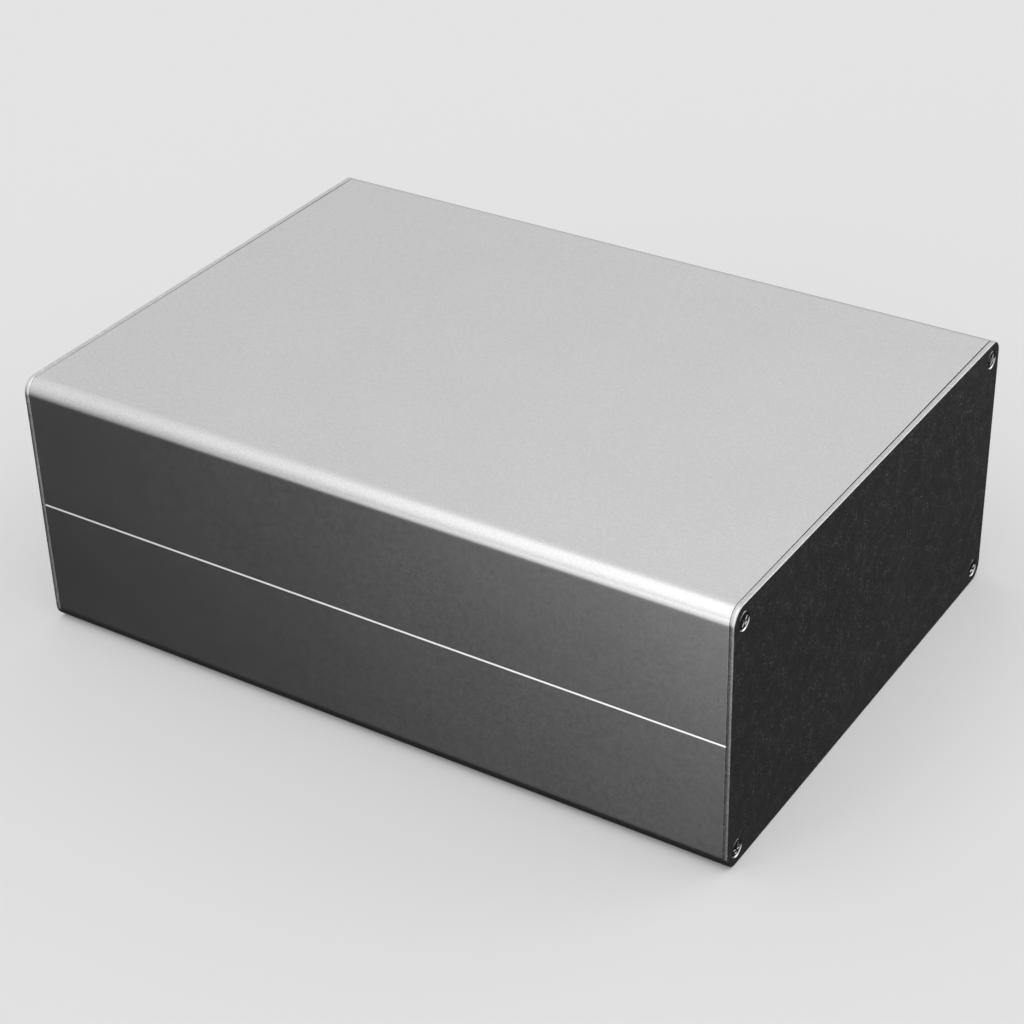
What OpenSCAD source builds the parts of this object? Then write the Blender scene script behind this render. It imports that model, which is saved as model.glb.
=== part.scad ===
// Extruded aluminium enclosure for circuit boards, closed.
// Two equal extrusions meet half way up the side walls with a tongue and a groove. A flat plate closes
// each end, held by four countersunk screws in the channels that run along the corners.
// The origin is the middle of the underside: X along the extrusions, the front wall at -Y, Z up.
// All sizes are in millimetres.

/* [Enclosure] */
// Width of the outside, from the front wall to the back wall
box_w = 158; // [110:1:240]
// Height of the outside, both halves together
box_h = 80; // [60:1:140]
// Length of the two extrusions, without the end plates
shell_l = 220; // [80:5:400]
// Outside radius of the four long corners
corner_r = 4.5; // [3:0.25:6]
// Thickness of the walls
wall_t = 2; // [1.6:0.1:3]
// Chamfer round the sawn ends of the extrusions
saw_break = 0.2; // [0.1:0.05:0.4]

/* [Joint of the halves] */
// Thickness of the side wall along the joint
land_t = 3.6; // [3.2:0.1:5]
// Height of the thicker strip of wall below the joint
land_h = 4; // [3.5:0.5:8]
// Thickness of the tongue
tongue_t = 1.2; // [0.8:0.1:1.6]
// Height of the tongue
tongue_h = 1.5; // [1:0.1:2.5]
// Clearance of the tongue in its groove, at both sides and at the bottom
tongue_clear = 0.1; // [0.05:0.05:0.2]
// Gap between the halves outside the tongue: they touch only inside it
joint_gap = 0.16; // [0.1:0.02:0.4]
// Chamfer of the outer edges along the joint, which leave a fine V between the halves
joint_break = 0.3; // [0.2:0.05:0.6]

/* [Board slots] */
// Height of the outermost slot over the outside of its half
slot_z = 14.5; // [13:0.5:20]
// Spacing of the slots
slot_pitch = 10; // [7:0.5:20]
// Width of a slot, for boards 1.6 thick
slot_w = 1.9; // [1.7:0.1:3]
// Thickness of the ribs beside a slot
rib_t = 1.4; // [1:0.1:2]
// How far the ribs stand out of the wall
rib_l = 3; // [2:0.25:5]
// Chamfer at the tips of the ribs and of the tongue
tip_break = 0.3; // [0.1:0.05:0.35]
// Radius at the roots of the ribs
root_r = 0.3; // [0.1:0.05:0.4]

/* [Screw channels] */
// Distance of the screws from the outside of both walls
screw_in = 5; // [4.75:0.25:8]
// Wall of a channel round its bore
channel_t = 1.7; // [1.2:0.1:2.5]
// Width of the open side of a channel
channel_gap = 1.2; // [0.8:0.1:1.8]
// Countersink at both ends of a channel
lead_in = 0.4; // [0.35:0.05:0.8]
// Bore of a channel over the thread's diameter
bore_clear = 0.1; // [0.06:0.02:0.2]

/* [End plates] */
// Thickness of an end plate
plate_t = 1.5; // [1.3:0.1:3]
// Chamfer round both faces of a plate
plate_break = 0.25; // [0.1:0.05:0.5]
// Holes of a plate over the thread's diameter
hole_clear = 0.4; // [0.2:0.1:0.6]

/* [Screws] */
// Diameter of the thread
screw_d = 3; // [2.5:0.5:3.5]
// Length of a screw with its head
screw_l = 8; // [6:1:16]
// Diameter of the head
head_d = 5.2; // [4.8:0.1:5.6]
// Height of the straight rim of the head
rim_h = 0.15; // [0.1:0.05:0.25]
// Depth of the head below the outer face of the plate
head_sink = 0.05; // [0:0.05:0.25]
// Clearance between the cone of a head and its seat
seat_clear = 0.04; // [0.02:0.01:0.1]
// Span of the cross recess at the top of the head
drive_d = 3; // [2.4:0.1:3.4]
// Width of the wings of the cross recess
drive_w = 0.8; // [0.5:0.05:1]
// Depth of the cross recess
drive_h = 1.2; // [0.8:0.1:1.4]
// Chamfer at the end of the thread
point_break = 0.5; // [0.3:0.1:0.8]

/* [Hidden] */
$fn = 64;
half_h = box_h / 2;
// Height of the slope between the plain wall and the thicker strip, at 45 degrees
land_slope = land_t - wall_t;
// Half of the height that a slot takes with both its ribs
slot_reach = slot_w / 2 + rib_t;
slot_count = floor((half_h - land_h - land_slope - slot_reach - slot_z) / slot_pitch) + 1;
tongue_in = (land_t - tongue_t) / 2;
// Height of the narrow land outside the tongue
outer_land = half_h - joint_gap / 2;
bore_r = (screw_d + bore_clear) / 2;
channel_r = bore_r + channel_t;
hole_r = (screw_d + hole_clear) / 2;
// The countersink is a 90 degree cone that leaves room for the rim above the head's own cone
sink_r = head_d / 2 + rim_h + head_sink;
// Distance across the shell that no cut or rib exceeds
past = box_w;
// Small extra length of cuts that end on a face
skin = 1;

// Carries a drawing of the section, width along Y and height along Z, along the length of the box
module along_box(length) {
    rotate([90, 0, 90]) linear_extrude(length, center = true) children();
}

// Puts a drawing on one side wall: its first axis runs inwards from the outside of that wall
module on_wall(side) {
    translate([side * box_w / 2, 0]) mirror([side > 0 ? 1 : 0, 0]) children();
}

// A rectangle of a length and a width with its corners cut off at 45 degrees
module broken_rectangle(length, width, cut) {
    x = length / 2;
    y = width / 2;
    polygon([
        [-x, cut - y], [cut - x, -y], [x - cut, -y], [x, cut - y],
        [x, y - cut], [x - cut, y], [cut - x, y], [-x, y - cut]
    ]);
}

// The outside of the box over a length: round along the four corners, chamfered round both ends
module outside(length, cut) {
    core_w = box_w - 2 * corner_r;
    core_h = box_h - 2 * corner_r;
    translate([0, 0, half_h]) {
        linear_extrude(core_h, center = true) broken_rectangle(length, box_w, cut);
        rotate([90, 0, 0]) linear_extrude(core_w, center = true) broken_rectangle(length, box_h, cut);
        for (y = [-core_w / 2, core_w / 2], z = [-core_h / 2, core_h / 2])
            translate([0, y, z]) rotate([0, 90, 0]) rotate_extrude() intersection() {
                rotate(90) broken_rectangle(length, 2 * corner_r, cut);
                translate([0, -length]) square([corner_r, 2 * length]);
            }
    }
}

// Solid round one screw channel, filled out to the corner of the walls
module channel_solid() {
    translate([screw_in, screw_in]) circle(channel_r);
    square(screw_in);
}

// Bore of one screw channel with its open side towards the middle of the box
module channel_bore() {
    translate([screw_in, screw_in]) {
        circle(bore_r);
        rotate(45) translate([0, -channel_gap / 2]) square([2 * channel_r, channel_gap]);
    }
}

// Thicker strip of the side wall that the joint needs
module land() {
    polygon([
        [0, half_h - land_h - land_slope - wall_t],
        [land_t, half_h - land_h],
        [land_t, half_h],
        [0, half_h]
    ]);
}

// Fills the corner between the wall and the upper side of a rib that lies below the first axis
module rib_fillet() {
    difference() {
        translate([wall_t - root_r, -root_r]) square(2 * root_r);
        translate([wall_t + root_r, root_r]) circle(root_r);
    }
}

// One rib from the outside of the wall to its chamfered tip
module rib() {
    tip = wall_t + rib_l;
    polygon([
        [0, 0], [tip - tip_break, 0], [tip, tip_break],
        [tip, rib_t - tip_break], [tip - tip_break, rib_t], [0, rib_t]
    ]);
    translate([0, rib_t]) rib_fillet();
    mirror([0, 1]) rib_fillet();
}

// Pairs of ribs, one pair to a slot
module slots() {
    for (i = [0 : 1 : slot_count - 1], z = [slot_w / 2, -slot_reach])
        translate([0, slot_z + i * slot_pitch + z]) rib();
}

// Tongue on the joint, drawn from just below the land to its chamfered tip
module tongue() {
    tip = half_h + tongue_h;
    polygon([
        [tongue_in, half_h - tongue_h],
        [tongue_in + tongue_t, half_h - tongue_h],
        [tongue_in + tongue_t, tip - tip_break],
        [tongue_in + tongue_t - tip_break, tip],
        [tongue_in + tip_break, tip],
        [tongue_in, tip - tip_break]
    ]);
}

// Groove that takes the tongue of the other half
module groove() {
    translate([tongue_in - tongue_clear, half_h - tongue_h - tongue_clear])
        square([tongue_t + 2 * tongue_clear, past]);
}

// Gap along the joint outside the tongue, with the chamfer of its outer edge
module joint_cut() {
    polygon([
        [-skin, outer_land - joint_break - skin], [joint_break, outer_land],
        [tongue_in, outer_land], [tongue_in, half_h + skin], [-skin, half_h + skin]
    ]);
}

// Section of one extrusion: it runs past the outside, which the rounded block then trims
module half_section() {
    difference() {
        union() {
            difference() {
                translate([-box_w / 2 - skin, -skin]) square([box_w + 2 * skin, half_h + skin]);
                translate([wall_t - box_w / 2, wall_t]) square([box_w - 2 * wall_t, past]);
            }
            for (side = [-1, 1]) on_wall(side) {
                channel_solid();
                land();
                slots();
            }
        }
        for (side = [-1, 1]) on_wall(side) {
            channel_bore();
            joint_cut();
        }
        on_wall(1) groove();
    }
    on_wall(-1) tongue();
}

// Places of the four screws on an end, as width and height
screw_places = [
    for (y = [screw_in - box_w / 2, box_w / 2 - screw_in], z = [screw_in, box_h - screw_in]) [y, z]
];

// Cone round a screw's axis, opening along +X at 90 degrees, with a radius at x = 0
module cone_along_x(radius, height) {
    rotate([0, 90, 0]) cylinder(height, radius, radius + height);
}

// One extrusion, lying as the lower half
module extrusion() {
    difference() {
        intersection() {
            along_box(shell_l) half_section();
            outside(shell_l, saw_break);
        }
        for (turn = [0, 180], p = screw_places)
            if (p[1] < half_h)
                rotate([0, 0, turn]) translate([shell_l / 2 - lead_in, p[0], p[1]])
                    cone_along_x(bore_r, lead_in + skin);
    }
}

module lower_shell() {
    color("silver") extrusion();
}

module upper_shell() {
    color("silver") translate([0, 0, box_h]) rotate([180, 0, 0]) extrusion();
}

// Plate with its outer face towards +X, at its place on the right end
module end_plate() {
    face_x = shell_l / 2 + plate_t;
    difference() {
        translate([face_x - plate_t / 2, 0, 0]) outside(plate_t, plate_break);
        for (p = screw_places) translate([face_x, p[0], p[1]]) {
            translate([-plate_t - skin, 0, 0]) rotate([0, 90, 0]) cylinder(plate_t + 2 * skin, r = hole_r);
            translate([hole_r - sink_r, 0, 0]) cone_along_x(hole_r, sink_r - hole_r + skin);
        }
    }
}

module right_end_plate() {
    color("gray") end_plate();
}

module left_end_plate() {
    color("gray") rotate([0, 0, 180]) end_plate();
}

// Cross recess below x = 0: two crossing wings that narrow towards the bottom
module cross_recess() {
    rotate([0, 90, 0]) intersection() {
        translate([0, 0, -drive_h]) cylinder(drive_h + skin, drive_d / 4, drive_d / 2);
        for (turn = [45, 135])
            rotate([0, 0, turn]) cube([drive_d, drive_w, 3 * drive_h], center = true);
    }
}

// Countersunk screw along X with the top of its head at x = 0
module screw() {
    shank_r = screw_d / 2;
    seat = seat_clear * sqrt(2);
    cone_h = head_d / 2 - shank_r;
    difference() {
        rotate([0, -90, 0]) rotate_extrude() polygon([
            [0, 0], [head_d / 2 - seat, 0], [head_d / 2 - seat, rim_h],
            [shank_r, rim_h + cone_h - seat],
            [shank_r, screw_l - point_break], [shank_r - point_break, screw_l], [0, screw_l]
        ]);
        cross_recess();
    }
}

// The four screws of the right end, heads below the face of the plate
module end_screws() {
    for (p = screw_places)
        translate([shell_l / 2 + plate_t - head_sink, p[0], p[1]]) screw();
}

module right_plate_screws() {
    color("gainsboro") end_screws();
}

module left_plate_screws() {
    color("gainsboro") rotate([0, 0, 180]) end_screws();
}

lower_shell();
upper_shell();
left_end_plate();
right_end_plate();
left_plate_screws();
right_plate_screws();
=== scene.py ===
import math
import bpy
import numpy as np
from mathutils import Matrix, Vector


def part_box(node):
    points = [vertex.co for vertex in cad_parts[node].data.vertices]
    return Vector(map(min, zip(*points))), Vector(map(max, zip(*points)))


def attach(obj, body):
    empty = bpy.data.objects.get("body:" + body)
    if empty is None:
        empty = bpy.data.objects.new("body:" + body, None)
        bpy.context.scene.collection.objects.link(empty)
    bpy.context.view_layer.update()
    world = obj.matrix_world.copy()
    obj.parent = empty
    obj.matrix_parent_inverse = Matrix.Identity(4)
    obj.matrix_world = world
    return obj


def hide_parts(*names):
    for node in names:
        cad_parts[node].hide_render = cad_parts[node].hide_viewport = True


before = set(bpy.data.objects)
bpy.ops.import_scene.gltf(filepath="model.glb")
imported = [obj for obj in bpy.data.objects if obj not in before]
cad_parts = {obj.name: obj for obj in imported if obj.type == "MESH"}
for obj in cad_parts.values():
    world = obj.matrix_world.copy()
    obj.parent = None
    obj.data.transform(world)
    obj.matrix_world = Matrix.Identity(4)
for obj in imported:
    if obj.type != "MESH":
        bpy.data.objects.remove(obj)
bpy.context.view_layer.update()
print("frame loaded:", len(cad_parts), "nodes")

mm = 0.001
tau = 2 * math.pi

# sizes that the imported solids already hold
shellLow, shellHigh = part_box("lower_shell")
plateLow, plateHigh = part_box("right_end_plate")
shellLength = shellHigh.x - shellLow.x
boxWidth = shellHigh.y - shellLow.y
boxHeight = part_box("upper_shell")[1].z
halfHeight = boxHeight / 2
plateThick = plateHigh.x - plateLow.x


# Meshes

# quads between neighbouring rows of a grid of vertex numbers, where each row closes on itself
def gridFaces(ids):
    side = np.roll(ids, -1, axis=1)
    quads = np.stack([ids[:-1], side[:-1], side[1:], ids[1:]], axis=-1)
    return quads.reshape(-1, 4)


# one finished piece at the origin: smooth faces with the edges over an angle kept sharp
def makePiece(name, points, faces, materials, faceSlots=None, sharpAngle=28):
    mesh = bpy.data.meshes.new(name)
    mesh.from_pydata(points.tolist(), [], faces)
    for material in materials:
        mesh.materials.append(material)
    if faceSlots is not None:
        mesh.polygons.foreach_set("material_index", np.asarray(faceSlots, np.int32))
    mesh.polygons.foreach_set("use_smooth", np.ones(len(faces), bool))
    mesh.set_sharp_from_angle(angle=math.radians(sharpAngle))
    mesh.validate()
    piece = bpy.data.objects.new(name, mesh)
    bpy.context.scene.collection.objects.link(piece)
    return piece


# a piece takes its place in the frame: it goes under the root body, and the solids that it stands for are
# hidden
def dress(piece, slot, *nodes):
    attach(piece, "root")
    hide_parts(*nodes)


# points of an arc in a plane, angles in degrees, both ends included
def arc(centre, radius, start, end, steps):
    angle = np.radians(np.linspace(start, end, steps + 1))
    return np.asarray(centre) + radius * np.stack([np.cos(angle), np.sin(angle)], axis=1)


# puts a depth along X in front of Y and Z
def atDepth(x, points):
    return np.concatenate([np.full(points.shape[:-1] + (1,), x), points], axis=-1)


# outward direction at each point of a closed outline, long enough to mitre its corners; the outline
# runs counter-clockwise
def mitres(outline):
    edge = np.roll(outline, -1, axis=0) - outline
    edge /= np.linalg.norm(edge, axis=1, keepdims=True)
    normal = np.stack([edge[:, 1], -edge[:, 0]], axis=1)
    before = np.roll(normal, 1, axis=0)
    return (normal + before) / (1 + (normal * before).sum(axis=1, keepdims=True))


# Shader values

# wraps a socket so that sums of sockets and numbers add the Math nodes that they need
class Wire:
    def __init__(self, tree, socket=None):
        self.tree = tree
        self.socket = socket

    # any node: its type, its settings, the values or links of its sockets, and the output wanted
    def node(self, kind, settings=None, sockets=None, out=0):
        made = self.tree.nodes.new(kind)
        for key, value in (settings or {}).items():
            setattr(made, key, value)
        for key, value in (sockets or {}).items():
            if isinstance(value, Wire):
                self.tree.links.new(value.socket, made.inputs[key])
            else:
                made.inputs[key].default_value = value
        return Wire(self.tree, made.outputs[out])

    def sum(self, operation, first, second=0.0):
        return self.node("ShaderNodeMath", {"operation": operation}, {0: first, 1: second})

    def __add__(self, other):
        return self.sum("ADD", self, other)

    def __radd__(self, other):
        return self.sum("ADD", other, self)

    def __sub__(self, other):
        return self.sum("SUBTRACT", self, other)

    def __rsub__(self, other):
        return self.sum("SUBTRACT", other, self)

    def __mul__(self, other):
        return self.sum("MULTIPLY", self, other)

    def __rmul__(self, other):
        return self.sum("MULTIPLY", other, self)

    # smooth step from low to high
    def step(self, low, high):
        return self.node("ShaderNodeMapRange", {"interpolation_type": "SMOOTHSTEP"},
                         {"Value": self, "From Min": low, "From Max": high})


noiseMean = 0.5  # of every noise texture


# a material with a Principled shader, and a wire to hang its nodes on
def newMaterial(name):
    material = bpy.data.materials.new(name)
    material.use_nodes = True
    tree = material.node_tree
    return material, tree.nodes["Principled BSDF"], Wire(tree)


def connect(wire, shader, socket):
    wire.tree.links.new(wire.socket, shader.inputs[socket])


# a grey with a trace of blue
def grey(tone, cool=1.004):
    return (tone, tone, tone * cool, 1)


# noise of a size in metres at a place
def noiseAt(place, size, detail=1.0, blend=0.5):
    return place.node("ShaderNodeTexNoise", None, {"Vector": place, "Scale": 1 / size,
                                                   "Detail": detail, "Roughness": blend})


# how far a noise lies from its mean
def swing(noise):
    return noise - noiseMean


# a colour between two by a share; the Mix node has its colours at 6 and 7 and their mix at output 2
def between(share, dark, light, clamp=True):
    return share.node("ShaderNodeMix", {"data_type": "RGBA", "clamp_factor": clamp},
                      {"Factor": share, 6: dark, 7: light}, 2)


# metal with a roughness and a relief, whose height is in metres
def metalSurface(shader, rough, height):
    bump = height.node("ShaderNodeBump", None, {"Strength": 1.0, "Distance": 1.0, "Height": height})
    shader.inputs["Metallic"].default_value = 1.0
    connect(rough, shader, "Roughness")
    connect(bump, shader, "Normal")


# Bead-blasted aluminium with a clear anodised skin. The blast leaves grains of about half a millimetre
# with finer ones between them, and patches of pits whose lighter tone is a painted glint that shows as
# light specks on the end plates. Along an extrusion the die has left faint lines. Lengths in the
# dictionaries are in metres.
shellBlast = {
    "grain": 0.55 * mm, "grainDepth": 0.0008 * mm, "grainFrom": 0.32, "grainTo": 0.68,
    "fine": 0.2 * mm, "fineDepth": 0.0003 * mm,
    "pits": 0.9 * mm, "pitFrom": 0.60, "pitTo": 0.76, "pitDepth": 0.0005 * mm,
    "patch": 4 * mm, "patchFrom": 0.40, "patchTo": 0.64, "mottle": 1.6 * mm, "cloud": 35 * mm,
    "dieLines": 0.5 * mm, "dieStretch": 500, "rough": 0.25,
    "grainRough": 0.03, "mottleRough": 0.03, "cloudRough": 0.02, "dieRough": 0.015, "pitRough": 0.0,
    "dark": 0.74, "light": 0.84, "grainShare": 0.5, "cloudShare": 0.5, "pitGlintTone": 0.01,
}
# the plates' pits are painted much lighter than the shells': a painted glint for their specks
plateBlast = {
    **shellBlast, "grainDepth": 0.0012 * mm, "fineDepth": 0.0004 * mm,
    "pits": 0.6 * mm, "pitFrom": 0.54, "pitTo": 0.68, "pitDepth": 0.003 * mm, "rough": 0.29,
    "grainRough": 0.06, "mottleRough": 0.06, "dieRough": 0.0, "pitRough": 0.14,
    "dark": 0.61, "light": 0.84, "pitGlintTone": 0.17,
}


def blastedAluminium(name, look):
    material, shader, start = newMaterial(name)
    place = start.node("ShaderNodeTexCoord", out="Object")
    stretch = (1 / look["dieStretch"], 1, 1)
    stretched = start.node("ShaderNodeMapping", None, {"Vector": place, "Scale": stretch})
    grain, fine = noiseAt(place, look["grain"]), noiseAt(place, look["fine"])
    mottle, cloud = noiseAt(place, look["mottle"]), noiseAt(place, look["cloud"], detail=3.0)
    patch = noiseAt(place, look["patch"], detail=2.0).step(look["patchFrom"], look["patchTo"])
    pits = noiseAt(place, look["pits"], detail=2.0).step(look["pitFrom"], look["pitTo"]) * patch
    dieLines = noiseAt(stretched, look["dieLines"], detail=3.0)
    rough = (look["rough"] + swing(grain) * look["grainRough"] + swing(mottle) * look["mottleRough"]
             + swing(cloud) * look["cloudRough"] + swing(dieLines) * look["dieRough"]
             + pits * look["pitRough"])
    # place of the tone between dark and light; the pits are painted lighter as a painted glint, and may
    # reach past light
    share = (grain.step(look["grainFrom"], look["grainTo"]) * look["grainShare"]
             + cloud * look["cloudShare"]
             + pits * (look["pitGlintTone"] / (look["light"] - look["dark"])))
    tone = between(share, grey(look["dark"]), grey(look["light"]), clamp=False)
    connect(tone, shader, "Base Color")
    height = grain * look["grainDepth"] + fine * look["fineDepth"] - pits * look["pitDepth"]
    metalSurface(shader, rough, height)
    return material


# Bare aluminium where the countersinks were cut through the skin, with fine turning rings: each ring
# lies at one depth of the cone, so the lines follow X alone
turned = {"rings": 0.06 * mm, "ringDetail": 2.0, "ringDepth": 0.001 * mm, "ringRough": 0.12,
          "rough": 0.18, "tone": 0.9}


def turnedAluminium(name, look):
    material, shader, start = newMaterial(name)
    place = start.node("ShaderNodeTexCoord", out="Object")
    depth = start.node("ShaderNodeSeparateXYZ", None, {"Vector": place}, "X")
    rings = start.node("ShaderNodeTexNoise", {"noise_dimensions": "1D"},
                       {"W": depth, "Scale": 1 / look["rings"], "Detail": look["ringDetail"]})
    rough = look["rough"] + swing(rings) * look["ringRough"]
    shader.inputs["Base Color"].default_value = grey(look["tone"])
    metalSurface(shader, rough, rings * look["ringDepth"])
    return material


# Bright nickel plating on the screws: smooth, a little uneven, with fine marks from handling; in the
# recess the colour is a painted shade, dark and dull, for the shadow that fills the cross
nickel = {"uneven": 0.8 * mm, "unevenDetail": 2.0, "unevenDepth": 0.003 * mm,
          "marks": 0.12 * mm, "markDetail": 4.0, "markBlend": 0.7, "markFrom": 0.55, "markTo": 0.75,
          "markRough": 0.10, "rough": 0.08,
          "dark": (0.70, 0.695, 0.685, 1), "light": (0.80, 0.795, 0.785, 1)}
# painted shade: the recess faces get a dark grey in place of the nickel's own colour
recessShadeNickel = {**nickel, "rough": 0.30, "dark": (0.16, 0.16, 0.16, 1), "light": (0.24, 0.24, 0.24, 1)}


def brightNickel(name, look):
    material, shader, start = newMaterial(name)
    place = start.node("ShaderNodeTexCoord", out="Object")
    uneven = noiseAt(place, look["uneven"], look["unevenDetail"])
    marks = noiseAt(place, look["marks"], look["markDetail"], look["markBlend"])
    rough = look["rough"] + marks.step(look["markFrom"], look["markTo"]) * look["markRough"]
    connect(between(uneven, look["dark"], look["light"]), shader, "Base Color")
    metalSurface(shader, rough, uneven * look["unevenDepth"])
    return material


shellMetal = blastedAluminium("shellAluminium", shellBlast)
plateMetal = blastedAluminium("plateAluminium", plateBlast)
bareMetal = turnedAluminium("turnedAluminium", turned)
screwMetal = brightNickel("brightNickel", nickel)
recessShadeMetal = brightNickel("recessShadeNickel", recessShadeNickel)
print("materials made")


# Half shells: the section of one extrusion, carried along X
section = {
    "cornerRadius": 4.5 * mm, "wall": 2 * mm, "cornerSteps": 24, "flatSupport": 0.5 * mm, "wideSteps": 24,
    "landThick": 3.6 * mm, "landHeight": 4 * mm, "jointBreak": 0.3 * mm, "jointGap": 0.16 * mm,
    "tongueThick": 1.2 * mm, "tongueHeight": 1.5 * mm, "tongueClear": 0.1 * mm, "tipBreak": 0.3 * mm,
    "slotFirst": 14.5 * mm, "slotPitch": 10 * mm, "slotCount": 2, "slotWidth": 1.9 * mm,
    "ribThick": 1.4 * mm, "ribReach": 3 * mm, "rootRadius": 0.3 * mm, "rootSteps": 4,
    "screwIn": 5 * mm, "boreRadius": 1.55 * mm, "channelWall": 1.7 * mm, "channelGap": 1.2 * mm,
    "channelMouth": 45, "channelSteps": 16, "endGap": 0.04 * mm, "endOpen": 0.25 * mm, "endSkew": 0.4,
    "endPower": 24, "endRound": 0.06 * mm, "endSteps": 3, "endSupport": 0.08 * mm,
}


# one rib, from the radius at its upper root round its chamfered tip to the lower root: inwards from
# the outside of the wall, and height
def ribPath(s, top):
    wall, root, cut = s["wall"], s["rootRadius"], s["tipBreak"]
    tip, low = wall + s["ribReach"], top - s["ribThick"]
    return np.concatenate([
        arc((wall + root, top + root), root, 180, 270, s["rootSteps"]),
        [[tip - cut, top], [tip, top - cut], [tip, low + cut], [tip - cut, low]],
        arc((wall + root, low - root), root, 90, 180, s["rootSteps"]),
    ])


# the open screw channel: round the outside to its mouth, in, round the bore and out, round to the floor;
# it is the same on both sides of the mouth's direction, which is in degrees
def channelPath(s):
    centre, outer = [s["screwIn"]] * 2, s["boreRadius"] + s["channelWall"]
    mouth = s["channelMouth"]
    meet = math.degrees(math.acos((s["wall"] - s["screwIn"]) / outer))
    gapOut = math.degrees(math.asin(s["channelGap"] / 2 / outer))
    gapIn = math.degrees(math.asin(s["channelGap"] / 2 / s["boreRadius"]))
    return np.concatenate([
        arc(centre, outer, meet, mouth + gapOut, s["channelSteps"]),
        arc(centre, s["boreRadius"], mouth + gapIn, mouth + 360 - gapIn, 3 * s["channelSteps"]),
        arc(centre, outer, mouth - gapOut, 2 * mouth - meet, s["channelSteps"]),
    ])


# inside of a side wall from the joint down to the floor: land, ribs of each slot, screw channel
def insidePath(s):
    slope = s["landThick"] - s["wall"]
    land = np.array([[s["landThick"], halfHeight - s["landHeight"]],
                     [s["wall"], halfHeight - s["landHeight"] - slope]])
    slots = s["slotFirst"] + s["slotPitch"] * np.arange(s["slotCount"])[::-1]
    ribs = [ribPath(s, z + side) for z in slots
            for side in (s["slotWidth"] / 2 + s["ribThick"], -s["slotWidth"] / 2)]
    return np.concatenate([land, *ribs, channelPath(s)])


# closed section of the lower half, counter-clockwise seen from +X: down the front, along the
# underside, up the back, over the grooved joint, along the inside and over the tongue
def halfSection(s):
    w, r, keep = boxWidth / 2, s["cornerRadius"], s["flatSupport"]
    cut, tip = s["jointBreak"], s["tipBreak"]
    tongueIn = (s["landThick"] - s["tongueThick"]) / 2
    tongueOut, tongueTop = tongueIn + s["tongueThick"], halfHeight + s["tongueHeight"]
    grooveIn, grooveOut = tongueIn - s["tongueClear"], tongueOut + s["tongueClear"]
    grooveLow = halfHeight - s["tongueHeight"] - s["tongueClear"]
    outerLand = halfHeight - s["jointGap"] / 2
    wide = np.linspace(-1, 1, s["wideSteps"] + 1)[:, None]
    outside = np.concatenate([
        [[-w, outerLand - cut], [-w, r + keep]],
        arc((r - w, r), r, 180, 270, s["cornerSteps"]),
        wide * [w - r - keep, 0],
        arc((w - r, r), r, 270, 360, s["cornerSteps"]),
        [[w, r + keep], [w, outerLand - cut]],
    ])
    grooved = np.array([[cut, outerLand], [grooveIn, outerLand], [grooveIn, grooveLow],
                        [grooveOut, grooveLow], [grooveOut, halfHeight], [s["landThick"], halfHeight]])
    tongued = np.array([[s["landThick"], halfHeight], [tongueOut, halfHeight],
                        [tongueOut, tongueTop - tip], [tongueOut - tip, tongueTop],
                        [tongueIn + tip, tongueTop], [tongueIn, tongueTop - tip],
                        [tongueIn, outerLand], [cut, outerLand]])
    back = np.concatenate([grooved, insidePath(s)]) * [-1, 1] + [w, 0]
    front = np.concatenate([insidePath(s)[::-1], tongued]) + [-w, 0]
    floor = wide[-2:0:-1] * [back[-1, 0], 0] + [0, s["wall"]]
    return np.concatenate([outside, back, floor, front])


# rows of (place along X, inset of the section) that round the sawn ends off in a quarter circle
def endRows(s, length):
    turn = np.linspace(0, math.pi / 2, s["endSteps"] + 1)
    x = s["endRound"] * (1 - np.cos(turn)) - length / 2
    inset = s["endRound"] * (1 - np.sin(turn))
    x = np.append(x, x[-1] + s["endSupport"])
    inset = np.append(inset, 0)
    return np.concatenate([x, -x[::-1]]), np.concatenate([inset, inset[::-1]])


# the section repeated at every row, each time inset as the end rounding asks, with a cap at both ends;
# the seam at the end plates is a hair wide at the corners, where the screws are, and opens along the
# wide walls, flat but for the last stretch, and more on one side than on the other
def extrusion(s):
    outline = halfSection(s)
    x, inset = endRows(s, shellLength)
    rows = outline - inset[:, None, None] * mitres(outline)
    share = outline[:, 0] / (boxWidth / 2)
    seam = s["endGap"] + s["endOpen"] * (1 - share ** s["endPower"]) * (1 - s["endSkew"] * share)
    along = x[:, None] - np.sign(x)[:, None] * seam
    points = atDepth(along[..., None], rows).reshape(-1, 3)
    ids = np.arange(len(points)).reshape(rows.shape[:2])
    faces = gridFaces(ids).tolist() + [ids[0, ::-1].tolist(), ids[-1].tolist()]
    return points, faces


shellPoints, shellFaces = extrusion(section)
turnOver = np.array([1, -1, -1])  # half a turn about X
lowerShell = makePiece("lowerShell", shellPoints, shellFaces, [shellMetal])
upperPoints = shellPoints * turnOver + [0, 0, boxHeight]
upperShell = makePiece("upperShell", upperPoints, shellFaces, [shellMetal])
dress(lowerShell, "shell", "lower_shell")
dress(upperShell, "shell", "upper_shell")
print("shells made:", len(shellFaces), "faces each")


# End plates: a rim carried round the outline, leaning in over its inner part as shearing leaves it and
# rounded on the outer side, and two faces with four holes each
plate = {
    "leanDepth": 0.65 * mm, "leanIn": 0.08 * mm, "leanBend": 0.04 * mm, "edgeRound": 0.25 * mm,
    "edgeSteps": 6, "faceSupport": 0.5 * mm, "cornerSteps": 24, "straightSteps": 4,
    "cell": 10 * mm, "cellSteps": 8, "cellRings": 4, "holeRadius": 1.7 * mm, "sinkRadius": 2.8 * mm,
    "sinkSteps": 4,
}

cornerNumber = np.arange(4)  # from the lower back corner, counter-clockwise seen from +X
cornerStart = np.radians(90.0 * cornerNumber - 90)


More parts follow.
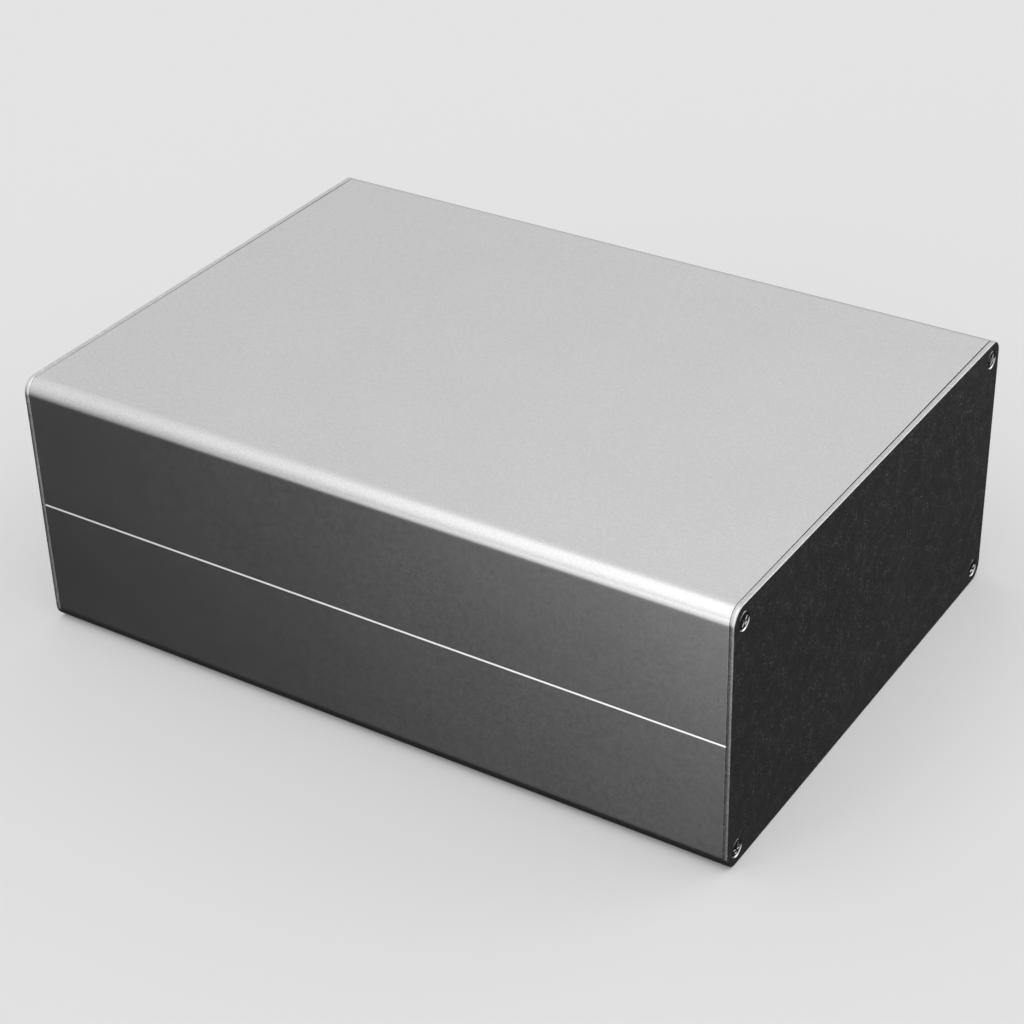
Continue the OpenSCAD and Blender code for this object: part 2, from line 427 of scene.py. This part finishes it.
# unit vectors outwards and along the outline at an angle
def outwards(angle):
    return np.stack([np.cos(angle), np.sin(angle)], axis=-1)


def onwards(angle):
    return np.stack([-np.sin(angle), np.cos(angle)], axis=-1)


cornerWay = outwards(cornerStart) + outwards(cornerStart + math.pi / 2)  # signs of Y and Z at each corner


# middle of each corner's arc, as Y and Z
def cornerMiddles():
    r = section["cornerRadius"]
    return cornerWay * [boxWidth / 2 - r, halfHeight - r] + [0, halfHeight]


# middle of each corner's screw hole
def holeMiddles():
    return cornerMiddles() + cornerWay * (section["cornerRadius"] - section["screwIn"])


# outline of the plate at an inset, as corner, point, Y and Z: each corner runs straight to its arc,
# round it and straight on, over the length of its cell
def plateOutline(p, inset):
    r = section["cornerRadius"]
    run = p["cell"] - r
    lead = np.linspace(-run, 0, p["straightSteps"] + 1)[:-1]
    turn = np.linspace(0, math.pi / 2, p["cornerSteps"] + 1)
    angle = np.concatenate([0 * lead, turn, 0 * lead + math.pi / 2])
    along = np.concatenate([lead, 0 * turn, -lead[::-1]])
    angle = cornerStart[:, None] + angle[None, :]
    return (cornerMiddles()[:, None, :] + (r - inset) * outwards(angle)
            + along[None, :, None] * onwards(angle))


# points of the two inner sides of each corner's cell, from the end of its outline back to its start
def cellSides(p, outline):
    inner = cornerMiddles() + cornerWay * (section["cornerRadius"] - p["cell"])
    share = np.linspace(0, 1, p["cellSteps"] + 1)[None, :, None]
    first = outline[:, -1:, :] * (1 - share) + inner[:, None, :] * share
    second = inner[:, None, :] * (1 - share) + outline[:, :1, :] * share
    return np.concatenate([first[:, 1:], second[:, 1:-1]], axis=1)


# adds points to a list of arrays and returns their numbers, in the shape that the points came in
def addPoints(store, points):
    first = sum(map(len, store))
    store.append(points.reshape(-1, 3))
    return first + np.arange(len(store[-1])).reshape(points.shape[:-1])


# rows of the rim from the inner face round the edge to the outer face, as row, corner and point
def plateRim(p, inner, outer):
    turn = np.linspace(0, math.pi / 2, p["edgeSteps"] + 1)
    lift, drop = 1 - np.cos(turn), 1 - np.sin(turn)
    leanX = p["leanDepth"] + p["leanBend"] * np.array([-1, 1])
    leanIn = p["leanIn"] * p["leanBend"] / p["leanDepth"]
    rowX = np.concatenate([[inner, inner], inner + leanX, outer - p["edgeRound"] * lift[::-1], [outer]])
    inset = np.concatenate([[p["leanIn"] + p["faceSupport"], p["leanIn"], leanIn, 0],
                            p["edgeRound"] * drop[::-1], [p["edgeRound"] + p["faceSupport"]]])
    return np.stack([atDepth(x, plateOutline(p, d)) for x, d in zip(rowX, inset)])


# one face inside a row of the rim: in each corner's cell, rings of quads that slide from the hole's circle
# to the cell's boundary, and one flat polygon between the cells; the circles are for the sleeves
def plateFace(p, store, row, rowIds, radius):
    x, outline = row[0, 0, 0], row[..., 1:]
    sides = cellSides(p, outline)
    boundary = np.concatenate([outline, sides], axis=1)
    ray = boundary - holeMiddles()[:, None, :]
    circle = holeMiddles()[:, None, :] + radius * ray / np.linalg.norm(ray, axis=2, keepdims=True)
    share = np.linspace(0, 1, p["cellRings"] + 1)[:-1, None, None, None]
    rings = circle * (1 - share) + boundary * share
    sideIds = addPoints(store, atDepth(x, sides))
    ringIds = addPoints(store, atDepth(x, rings))
    edgeIds = np.concatenate([rowIds, sideIds], axis=1)
    quads = [gridFaces(np.concatenate([ringIds[:, k], edgeIds[None, k]])) for k in cornerNumber]
    middle = np.concatenate([rowIds[:, :1], sideIds[:, ::-1], rowIds[:, -1:]], axis=1).ravel()
    return np.concatenate(quads), middle, circle, ringIds[0]


# the plate's mesh with its outer face towards +X: rim, both faces, and the sleeves of the holes, each
# straight and then a countersink of 90 degrees
def endPlate(p):
    inner, outer = shellLength / 2, shellLength / 2 + plateThick
    rim, store = plateRim(p, inner, outer), []
    rimIds = addPoints(store, rim)
    back, backMiddle, backCircle, backIds = plateFace(p, store, rim[0], rimIds[0], p["holeRadius"])
    front, frontMiddle, frontCircle, frontIds = plateFace(p, store, rim[-1], rimIds[-1], p["sinkRadius"])
    depth = p["sinkRadius"] - p["holeRadius"]
    share = np.linspace(0, 1, p["sinkSteps"] + 1)[:-1, None, None, None]
    sleeve = backCircle * (1 - share) + frontCircle * share
    sleeveIds = addPoints(store, atDepth(outer - depth * (1 - share), sleeve))
    sleeveIds = np.concatenate([backIds[None], sleeveIds, frontIds[None]])
    around = gridFaces(rimIds.reshape(len(rim), -1))
    plain = np.concatenate([around, back, front[:, ::-1]]).tolist()
    plain += [backMiddle[::-1].tolist(), frontMiddle.tolist()]
    bare = np.concatenate([gridFaces(sleeveIds[:, k])[:, ::-1] for k in cornerNumber]).tolist()
    return np.concatenate(store), plain + bare, [0] * len(plain) + [1] * len(bare)


platePoints, plateFaces, plateSlots = endPlate(plate)
turnRound = np.array([-1, -1, 1])  # half a turn about Z
plateMetals = [plateMetal, bareMetal]
rightPlate = makePiece("rightPlate", platePoints, plateFaces, plateMetals, plateSlots)
leftPlate = makePiece("leftPlate", platePoints * turnRound, plateFaces, plateMetals, plateSlots)
dress(rightPlate, "plate", "right_end_plate")
dress(leftPlate, "plate", "left_end_plate")
print("end plates made:", len(plateFaces), "faces each")


# Countersunk screws: one closed grid each, from the bottom of the cross recess over the head and down
# the thread to the point
screw = {
    "length": 8 * mm, "headRadius": 2.6 * mm, "rim": 0.15 * mm, "sink": 0.05 * mm, "seatClear": 0.057 * mm,
    "edgeDepth": 0.3 * mm, "edgeIn": 0.55 * mm, "edgeSteps": 8, "coneStart": 1.4,
    "shankRadius": 1.5 * mm, "rootRadius": 1.22 * mm, "pitch": 0.5 * mm, "ridgeTop": 1.25,
    "ridgeSlope": 3.2, "threadSteps": 8, "pointBreak": 0.5 * mm,
    "driveSpan": 3.0 * mm, "driveWidth": 0.8 * mm, "driveDepth": 1.2 * mm, "driveFloor": 0.25 * mm,
    "driveTaper": 0.78, "driveNarrow": 0.7, "driveEdge": 0.13 * mm, "driveSteps": 5,
    "wingSteps": 3, "flankSteps": 5, "topSteps": 4,
    "turns": (20, 64, 38, 75),  # degrees of each recess about the screw's axis, corner by corner
}


# outline of a cross, counter-clockwise: one quarter from the middle of a wing's tip to the next
# wing's, repeated four times by quarter turns
def crossOutline(halfSpan, halfWidth, s):
    knots = np.array([[halfSpan, 0], [halfSpan, halfWidth], [halfWidth, halfWidth],
                      [halfWidth, halfSpan], [0, halfSpan]])
    counts = (s["wingSteps"], s["flankSteps"], s["flankSteps"], s["wingSteps"])
    quarter = np.concatenate([a + (b - a) * (np.arange(n) / n)[:, None]
                              for a, b, n in zip(knots[:-1], knots[1:], counts)])
    quarterTurn = np.array([[0, 1], [-1, 0]])
    return np.concatenate([quarter @ np.linalg.matrix_power(quarterTurn, k) for k in range(4)])


# screw along its own axis: depth below the head's top, and two coordinates across
def screwGrid(s):
    span, width, edge = s["driveSpan"] / 2, s["driveWidth"] / 2, s["driveEdge"]
    top = crossOutline(span, width, s)
    bottom = crossOutline(span * s["driveTaper"], width * s["driveNarrow"], s)
    angle = np.arctan2(top[:, 1], top[:, 0])
    circle = outwards(angle)
    head = s["headRadius"] - s["seatClear"]
    # recess: the cross widens from the bottom to the top, and its edge is broken
    share = np.linspace(0, 1, s["driveSteps"] + 1)[:, None, None]
    recess = atDepth(edge + (s["driveDepth"] - edge) * (1 - share), bottom * (1 - share) + top * share)
    # top of the head: from the broken edge of the cross out to the circle of the rim
    share = np.linspace(0, 1, s["topSteps"] + 1)[:, None, None]
    wide = crossOutline(span + edge, width + edge, s)
    face = atDepth(0.0, wide * (1 - share) + circle * (head - s["edgeIn"]) * share)
    # rim and cone as a turned profile of depth and radius
    rounding = arc((1, 0), 1, 180, 90, s["edgeSteps"]) * [s["edgeDepth"], s["edgeIn"]]
    rounding += [0, head - s["edgeIn"]]
    coneEnd = s["rim"] + head - s["shankRadius"]
    coneDepth = s["coneStart"] * s["edgeDepth"]
    coneFrom = [coneDepth, head + s["rim"] - coneDepth]
    profile = np.concatenate([rounding[1:-1], [coneFrom, [coneEnd, s["shankRadius"]]]])
    body = atDepth(profile[:, 0, None, None], profile[:, 1, None, None] * circle)
    # thread: the radius is a clipped wave of depth less angle, faded in at both ends
    threadEnd = s["length"] - s["pointBreak"]
    depth = np.arange(coneEnd, threadEnd, s["pitch"] / s["threadSteps"])[1:, None]
    phase = (depth / s["pitch"] - angle[None, :] / tau) % 1
    ridge = np.clip(s["ridgeTop"] - s["ridgeSlope"] * np.abs(phase - 0.5), 0, 1)
    fade = np.clip((depth - coneEnd) / s["pitch"], 0, 1)
    fade = fade * np.clip((threadEnd - depth) / s["pitch"], 0, 1)
    full = s["shankRadius"] - (s["shankRadius"] - s["rootRadius"]) * (1 - ridge) * fade
    thread = atDepth(depth[..., None], full[..., None] * circle)
    tip = atDepth(s["length"], (s["shankRadius"] - s["pointBreak"]) * circle[None])
    return np.concatenate([recess, face, body, thread, tip])


# one screw of the right end at a corner, turned about its axis by an angle
def screwMesh(s, corner):
    grid = screwGrid(s)
    a = math.radians(s["turns"][corner])
    turn = np.array([[math.cos(a), math.sin(a)], [-math.sin(a), math.cos(a)]])
    faceX = shellLength / 2 + plateThick - s["sink"]
    middle = holeMiddles()[corner]
    points = atDepth(faceX - grid[..., :1], grid[..., 1:] @ turn + middle).reshape(-1, 3)
    poles = np.array([[faceX - s["driveDepth"] - s["driveFloor"], *middle],
                      [faceX - s["length"], *middle]])
    ids = np.arange(len(points)).reshape(grid.shape[:2])
    first, last = len(points), len(points) + 1
    fan = np.stack([np.full(ids.shape[1], first), ids[0], np.roll(ids[0], -1)], axis=1)
    point = np.stack([ids[-1], np.full(ids.shape[1], last), np.roll(ids[-1], -1)], axis=1)
    faces = fan.tolist() + gridFaces(ids)[:, ::-1].tolist() + point.tolist()
    # the faces of the cross recess, which take the painted shade
    recess = np.arange(len(faces)) < len(fan) * (1 + s["driveSteps"])
    return np.concatenate([points, poles]), faces, recess


screwMetals = [screwMetal, recessShadeMetal]
for corner in cornerNumber:
    screwPoints, screwFaces, inShadedRecess = screwMesh(screw, corner)
    leftPoints = screwPoints * turnRound
    rightScrew = makePiece(f"rightScrew{corner + 1}", screwPoints, screwFaces, screwMetals, inShadedRecess)
    leftScrew = makePiece(f"leftScrew{corner + 1}", leftPoints, screwFaces, screwMetals, inShadedRecess)
    dress(rightScrew, "screw", "right_plate_screws")
    dress(leftScrew, "screw", "left_plate_screws")
print("screws made:", len(screwFaces), "faces each")


# Stage: a plain pale floor that the metal doesn't mirror, because the photo's metal stands over a dark
# surface, and a soft dome of light that grows brighter upwards
floorLook = {"size": 8.0, "tone": 0.80, "rough": 0.7, "shine": 0.1}


def makeFloor(look):
    reach = look["size"] / 2
    corner = np.array([[-1, -1, 0], [1, -1, 0], [1, 1, 0], [-1, 1, 0]]) * reach
    material, shader, _ = newMaterial("paleFloor")
    shader.inputs["Base Color"].default_value = grey(look["tone"])
    shader.inputs["Roughness"].default_value = look["rough"]
    shader.inputs["Specular IOR Level"].default_value = look["shine"]
    floor = makePiece("paleFloor", corner, [[0, 1, 2, 3]], [material])
    floor.visible_glossy = False


# Brightness of the dome by direction: low everywhere, a sky that grows from below the horizon upwards and
# a little to the right, a faint rim under it, a glow on the two low sides that the photo's view doesn't
# mirror, and softboxes towards the top, the front and the back
dome = {"low": 0.018, "haze": 0.505, "hazeFrom": -0.326, "hazeTo": 0.236,
        "tilt": 0.065, "tiltFrom": -0.75, "tiltTo": -0.20, "rise": 0.17, "riseFrom": 0.25, "riseTo": 0.75,
        "rim": 0.07, "rimFrom": -0.42, "rimTo": -0.28,
        "glow": 0.14, "glowFrom": 0.2, "glowTo": 0.9, "glowEnd": -0.05, "glowGone": 0.2,
        "top": 0.60, "topWay": (0, -0.571, 0.821), "topFrom": 0.390, "topTo": 0.885,
        "sideFrom": -0.549, "sideTo": -0.447, "fade": 0.6, "fadeFrom": -0.25, "fadeTo": 0.10,
        "front": 0.90, "frontWay": (-0.16, -0.961, -0.225), "frontFrom": 0.874, "frontTo": 0.962,
        "back": 0.6, "backWay": (0.54, 0.70, 0.46), "backFrom": 0.86, "backTo": 0.96}


def makeDome(look):
    world = bpy.data.worlds.new("softDome")
    bpy.context.scene.world = world
    world.use_nodes = True
    start = Wire(world.node_tree)
    way = start.node("ShaderNodeTexCoord", out="Generated")
    up = start.node("ShaderNodeSeparateXYZ", None, {"Vector": way}, "Z")
    across = start.node("ShaderNodeSeparateXYZ", None, {"Vector": way}, "X")
    along = start.node("ShaderNodeSeparateXYZ", None, {"Vector": way}, "Y")

    # cosine of the angle from a direction
    def towards(direction):
        return start.node("ShaderNodeVectorMath", {"operation": "DOT_PRODUCT"},
                          {0: way, 1: direction}, "Value")

    # -2 x y is 1 half way between -X and +Y and between +X and -Y
    glow = (across * along * -2).step(look["glowFrom"], look["glowTo"]) * look["glow"]
    glow = glow * (1 - up.step(look["glowEnd"], look["glowGone"]))
    # the top softbox begins at one side and fades past the middle
    band = across.step(look["sideFrom"], look["sideTo"])
    band = band * (1 - across.step(look["fadeFrom"], look["fadeTo"]) * look["fade"])
    sky = across.step(look["tiltFrom"], look["tiltTo"]) * look["tilt"] + look["haze"]
    light = (look["low"] + up.step(look["hazeFrom"], look["hazeTo"]) * sky
             + up.step(look["riseFrom"], look["riseTo"]) * look["rise"]
             + up.step(look["rimFrom"], look["rimTo"]) * (glow + look["rim"])
             + towards(look["frontWay"]).step(look["frontFrom"], look["frontTo"]) * look["front"]
             + towards(look["backWay"]).step(look["backFrom"], look["backTo"]) * look["back"]
             + towards(look["topWay"]).step(look["topFrom"], look["topTo"]) * band * look["top"])
    start.tree.links.new(light.socket, start.tree.nodes["Background"].inputs["Strength"])
    start.tree.nodes["Background"].inputs["Color"].default_value = (1, 1, 1, 1)


# Camera: fitted to the traced edges of the box in the photo, as a place to look at, a bearing from
# the front, a height angle, a small roll and a focal length in pixels of the 1024 wide picture
view = {"target": (-0.01045, 0.01251, 0.0191), "bearing": 33.269, "height": 32.364, "roll": -1.591,
        "distance": 0.7240, "focal": 2428.5, "picture": 1024, "sensor": 36.0, "near": 0.01, "far": 50}


def makeCamera(look):
    bearing, height = math.radians(look["bearing"]), math.radians(look["height"])
    back = Vector((math.sin(bearing) * math.cos(height), -math.cos(bearing) * math.cos(height),
                   math.sin(height)))
    data = bpy.data.cameras.new("camera")
    data.sensor_width = look["sensor"]
    data.lens = look["focal"] / look["picture"] * look["sensor"]
    data.clip_start, data.clip_end = look["near"], look["far"]
    camera = bpy.data.objects.new("camera", data)
    facing = (-back).to_track_quat("-Z", "Y").to_matrix().to_4x4()
    place = Matrix.Translation(Vector(look["target"]) + back * look["distance"])
    camera.matrix_world = place @ facing @ Matrix.Rotation(math.radians(look["roll"]), 4, "Z")
    bpy.context.scene.collection.objects.link(camera)
    bpy.context.scene.camera = camera


makeFloor(floorLook)
makeDome(dome)
makeCamera(view)
bpy.context.scene.view_settings.view_transform = "Standard"
print("stage made")
